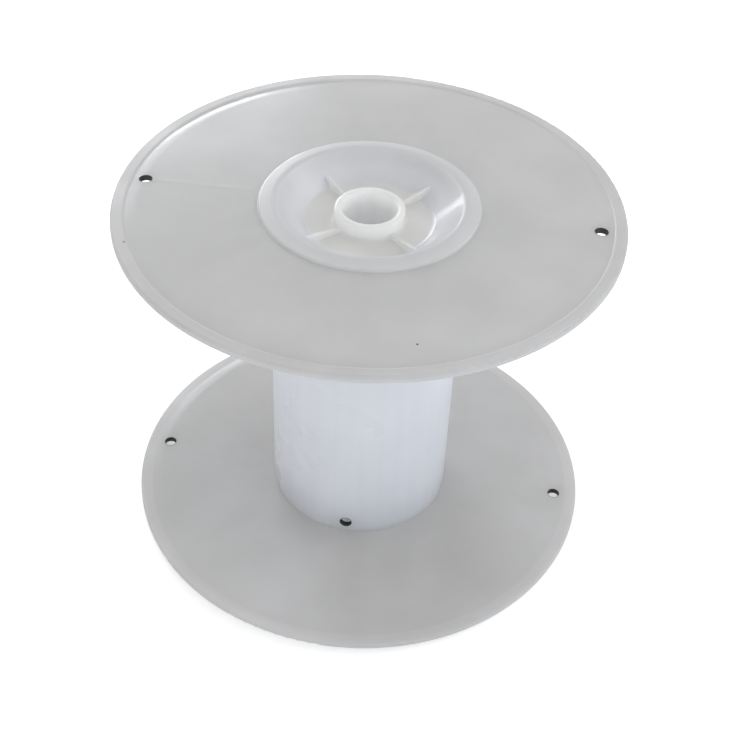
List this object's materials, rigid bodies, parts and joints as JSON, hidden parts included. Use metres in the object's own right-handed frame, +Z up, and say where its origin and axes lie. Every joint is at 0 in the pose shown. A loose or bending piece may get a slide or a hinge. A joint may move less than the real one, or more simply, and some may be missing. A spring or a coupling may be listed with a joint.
{
  "type": "line spool",
  "caption": "Empty white plastic spool for line: a plain barrel between two thin round flanges with dished, ribbed, bored hubs and small rim holes.",
  "frame": {"origin": "on the spindle axis, in the plane that the lower ring stands on", "axes": "+Z up along the spindle axis, X through the rim holes, -Y towards the line-start hole"},
  "size_m": [0.2, 0.2, 0.1554],
  "materials": {
    "barrel_plastic": "satin white moulded plastic",
    "flange_plastic": "satin white moulded plastic"
  },
  "bodies": {
    "root": {"barrel": "barrel_plastic", "lower_flange": "flange_plastic", "upper_flange": "flange_plastic"}
  },
  "joints": []
}
